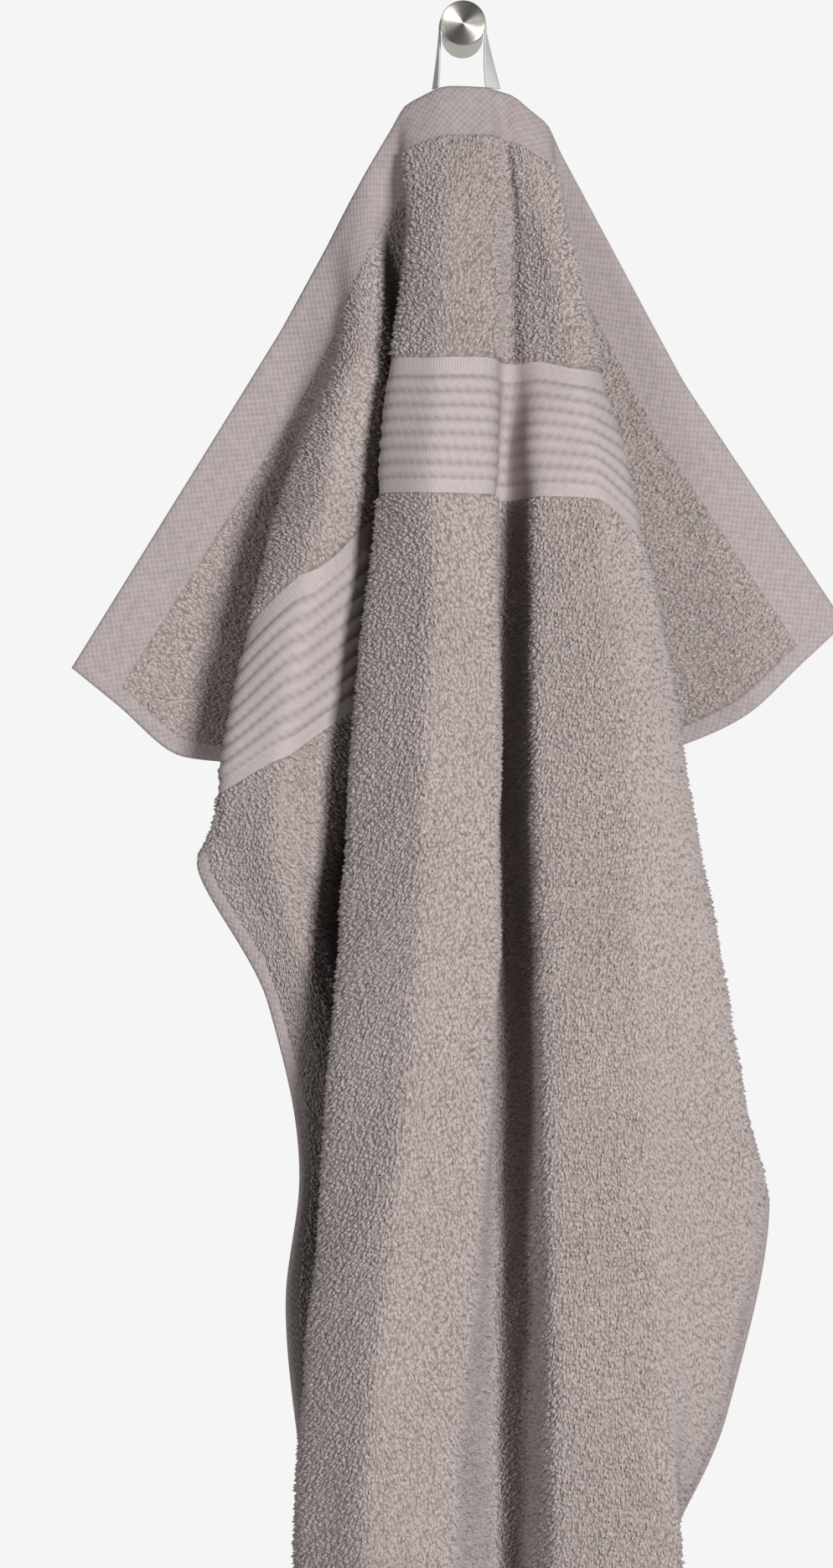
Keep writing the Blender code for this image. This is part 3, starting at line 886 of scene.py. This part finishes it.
@dataclass
class HangingLoop:
    """The sewn tape over the knob's shank, its legs turning towards the hem."""

    width: float = 6.0
    thickness: float = 0.7
    radius: float = 8.3
    depth: float = 14.5
    foot_drop: float = 20.9
    left_foot: float = -9.7
    left_turn: float = 20.0
    right_foot: float = 10.8
    right_turn: float = -58.0
    leg_steps: int = 22
    arc_steps: int = 36
    width_steps: int = 8
    cupping: float = 0.25

    def route(self) -> np.ndarray:
        """Rows of (across, height, turn in radians) from the left foot over the shank to the right foot."""
        legs = []
        for foot, turn in ((self.left_foot, self.left_turn), (self.right_foot, self.right_turn)):
            share = np.linspace(1.0, 0.0, self.leg_steps, endpoint=False)
            side = math.copysign(self.radius, foot)
            legs.append(np.stack([side + (foot - side) * share**1.5, -self.foot_drop * share,
                                  math.radians(turn) * share], axis=1))
        angle = np.linspace(math.pi, 0.0, self.arc_steps + 1)
        arc = np.stack([self.radius * np.cos(angle), self.radius * np.sin(angle), 0 * angle], axis=1)
        return np.concatenate([legs[0], arc, legs[1][::-1]])

    def build(self) -> bpy.types.Object:
        """Makes the tape as a ribbon along its route, gives it thickness and maps its weave.

        Returns:
            The loop object.
        """
        route = self.route()
        share = np.linspace(-0.5, 0.5, self.width_steps + 1)
        reach = share * self.width
        length = np.concatenate([[0.0], np.cumsum(np.linalg.norm(np.diff(route[:, :2], axis=0), axis=1))])
        x, z, turn = (route[:, i:i + 1] for i in range(3))
        sink = self.cupping * (1 - (2 * share) ** 2) * np.clip(-z / self.foot_drop, 0, 1)
        points = np.stack([x + reach * np.sin(turn) + sink, -self.depth - reach * np.cos(turn),
                           z + 0 * reach], axis=-1)
        rows, columns = points.shape[:2]
        index = np.arange(rows * columns).reshape(rows, columns)
        faces = np.stack([index[:-1, :-1], index[:-1, 1:], index[1:, 1:], index[1:, :-1]], axis=-1)
        mesh = bpy.data.meshes.new("tape_loop")
        mesh.from_pydata((points.reshape(-1, 3) * MM).tolist(), [], faces.reshape(-1, 4).tolist())
        flat = np.stack(np.meshgrid(reach, length), axis=-1).reshape(-1, 2) * MM
        corners = np.empty(len(mesh.loops), dtype=np.int32)
        mesh.loops.foreach_get("vertex_index", corners)
        mesh.uv_layers.new(name="cloth").data.foreach_set("uv", flat[corners].ravel().astype(np.float32))
        mesh.materials.append(CottonTape().material())
        mesh.shade_smooth()
        loop = bpy.data.objects.new("tape_loop", mesh)
        bpy.context.scene.collection.objects.link(loop)
        bpy.ops.object.select_all(action="DESELECT")
        bpy.context.view_layer.objects.active = loop
        loop.select_set(True)
        tape = loop.modifiers.new("thickness", "SOLIDIFY")
        tape.thickness = self.thickness * MM
        tape.offset = 0.0
        bpy.ops.object.modifier_apply(modifier=tape.name)
        return loop


@dataclass
class WallKnob:
    """The turned knob: a cylinder with its face inset, dished and bevelled, on a straight shank."""

    reach: float = 28.0
    radius: float = 8.0
    shank: float = 7.5
    head: float = 6.0
    flare: float = 0.4
    rim: float = 0.8
    lip: float = 0.5
    dish: float = 0.55
    middle: float = 0.1
    rings: int = 6
    sides: int = 96

    def build(self) -> bpy.types.Object:
        """Models the knob by hand from one cylinder.

        Returns:
            The knob object.
        """
        bpy.ops.object.select_all(action="DESELECT")
        bpy.ops.mesh.primitive_cylinder_add(vertices=self.sides, radius=self.shank * MM,
                                            depth=self.reach * MM, end_fill_type="NGON",
                                            location=(0.0, -self.reach / 2 * MM, 0.0),
                                            rotation=(math.pi / 2, 0.0, 0.0))
        knob = bpy.context.object
        knob.name = "steel_knob"
        bpy.ops.object.transform_apply(location=True, rotation=True, scale=True)
        bpy.ops.object.mode_set(mode="EDIT")
        bpy.ops.mesh.select_mode(type="FACE")
        self.raise_head()
        self.dish_face()
        bpy.ops.object.mode_set(mode="OBJECT")
        bevel = knob.modifiers.new("rim", "BEVEL")
        bevel.width = self.rim * MM
        bevel.segments = 4
        bevel.limit_method = "ANGLE"
        bevel.angle_limit = math.radians(50.0)
        bpy.ops.object.modifier_apply(modifier=bevel.name)
        bpy.ops.object.shade_smooth_by_angle(angle=math.radians(35.0))
        steel = BrushedSteel()
        knob.data.materials.append(steel.material(smear=0.0))
        knob.data.materials.append(steel.material(smear=0.85))
        for face in knob.data.polygons:
            front = face.normal.y < -0.9 and face.center.y < -(self.reach - 1.5) * MM
            face.material_index = 1 if front else 0
        return knob

    def select_front(self) -> None:
        """Selects the one face that looks into the room."""
        shape = bmesh.from_edit_mesh(bpy.context.object.data)
        bpy.ops.mesh.select_all(action="DESELECT")
        front = min(shape.faces, key=lambda face: face.calc_center_median().y)
        front.select = True
        bmesh.update_edit_mesh(bpy.context.object.data)

    def raise_head(self) -> None:
        """Pushes the front face back to the head's foot, flares it and draws the head out again."""
        wider = self.radius / self.shank
        self.select_front()
        bpy.ops.transform.translate(value=(0.0, self.head * MM, 0.0))
        bpy.ops.mesh.extrude_region_move(TRANSFORM_OT_translate={"value": (0.0, -self.flare * MM, 0.0)})
        bpy.ops.transform.resize(value=(wider, 1.0, wider))
        forward = (0.0, (self.flare - self.head) * MM, 0.0)
        bpy.ops.mesh.extrude_region_move(TRANSFORM_OT_translate={"value": forward})

    def dish_face(self) -> None:
        """Insets the face in rings, each sunk a little further, for the shallow dish of a turned face."""
        step = (self.radius - self.rim - self.lip - self.middle) / self.rings
        bpy.ops.mesh.inset(thickness=(self.rim + self.lip) * MM)
        for _ in range(self.rings - 1):
            bpy.ops.mesh.inset(thickness=step * MM)
            bpy.ops.transform.translate(value=(0.0, self.dish / self.rings * MM, 0.0))


@dataclass
class Studio:
    """The photograph's camera, a pale floor well below the towel and soft light from the right."""

    distance: float = 1400.0
    wall_height: float = 569.3
    centre_x: float = -16.6
    centre_z: float = -270.9
    floor_z: float = -1.45
    light_size: float = 0.45
    light_aim: tuple[float, float, float] = (0.0, -0.03, -0.3)
    room_colour: str = "#525253"
    wall_colour: str = "#f5f5f5"
    sensor: float = 36.0

    def camera(self) -> None:
        """Adds the camera, level and square to the wall."""
        data = bpy.data.cameras.new("camera")
        data.sensor_fit = "VERTICAL"
        data.sensor_height = self.sensor
        data.lens = self.sensor * self.distance / self.wall_height
        data.clip_start = 0.05
        data.clip_end = 50.0
        camera = bpy.data.objects.new("camera", data)
        camera.location = (self.centre_x * MM, -self.distance * MM, self.centre_z * MM)
        camera.rotation_euler = (math.pi / 2, 0.0, 0.0)
        bpy.context.scene.collection.objects.link(camera)
        bpy.context.scene.camera = camera

    def light(self, name: str, place: tuple[float, float, float], power: float) -> None:
        """Adds one soft square light that faces the towel.

        Args:
            name: the light's name.
            place: where it stands, in metres.
            power: its power in watts.
        """
        data = bpy.data.lights.new(name, "AREA")
        data.size = self.light_size
        data.energy = power
        lamp = bpy.data.objects.new(name, data)
        lamp.location = place
        aim = Vector(self.light_aim) - Vector(place)
        lamp.rotation_euler = aim.to_track_quat("-Z", "Y").to_euler()
        bpy.context.scene.collection.objects.link(lamp)

    def floor(self) -> None:
        """Adds the pale floor, round and finished as plain paint."""
        bpy.ops.object.select_all(action="DESELECT")
        bpy.ops.mesh.primitive_circle_add(vertices=96, radius=1.1, fill_type="NGON",
                                          location=(0.0, -0.3, self.floor_z))
        floor = bpy.context.object
        floor.name = "floor"
        bpy.ops.object.transform_apply(location=True, rotation=True, scale=True)
        material, tree, shader = new_material("painted_floor")
        place = add_node(tree, "ShaderNodeTexCoord").outputs["Object"]
        cloud = add_node(tree, "ShaderNodeTexNoise", {"Vector": place, "Scale": 6.0})
        paint = ramp(tree, cloud.outputs["Fac"], {0.3: "#e9e9e8", 0.7: "#efefee"})
        tree.links.new(paint, shader.inputs["Base Color"])
        set_sockets(shader, Roughness=0.8)
        floor.data.materials.append(material)

    def room(self) -> None:
        """Lights the room from all sides: pale behind the towel, like a wall, and dimmer in front of it."""
        world = bpy.data.worlds.new("pale_room")
        world.use_nodes = True
        tree = world.node_tree
        way = add_node(tree, "ShaderNodeTexCoord").outputs["Generated"]
        apart = add_node(tree, "ShaderNodeSeparateXYZ", {"Vector": way})
        behind = math_node(tree, "MULTIPLY_ADD", apart.outputs["Y"], 0.5, 0.5)
        background = tree.nodes["Background"]
        tree.links.new(ramp(tree, behind, {0.6: self.room_colour, 0.96: self.wall_colour}),
                       background.inputs["Color"])
        bpy.context.scene.world = world

    def build(self) -> None:
        """Sets up everything that isn't the towel."""
        self.camera()
        self.floor()
        self.light("key_right", (0.85, -1.95, -0.1), 42.0)
        self.light("fill_left", (-1.3, -1.65, 0.0), 10.0)
        self.room()
        bpy.context.scene.view_settings.view_transform = "Standard"


def dress(piece: bpy.types.Object) -> bpy.types.Object:
    """Fixes a piece to the part's body and logs how many faces it has.

    Args:
        piece: the finished piece.

    Returns:
        The same piece.
    """
    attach(piece, ROOT)
    log.info("%s: %d faces", piece.name, len(piece.data.polygons))
    return piece


def main() -> None:
    """Builds the towel, its loop, the knob and the studio, in that order."""
    logging.basicConfig(level=logging.INFO, format="%(name)s %(message)s")
    cloth_maker = TowelCloth(Drape())
    cloth = dress(cloth_maker.build())
    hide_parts("towel")
    pile_maker = Pile(cloth_maker)
    pile_finish = TerryCotton().pile()
    fields = pile_maker.fields()
    on_cloth = [dress(pile_maker.build(*field, pile_finish)) for field in fields]
    on_cloth.append(dress(HemStitches(cloth_maker).build(SewingThread().material())))
    loop = dress(HangingLoop().build())
    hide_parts("hanging_loop")
    knob = dress(WallKnob().build())
    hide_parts("wall_knob")
    Studio().build()


if __name__ == "__main__":
    main()
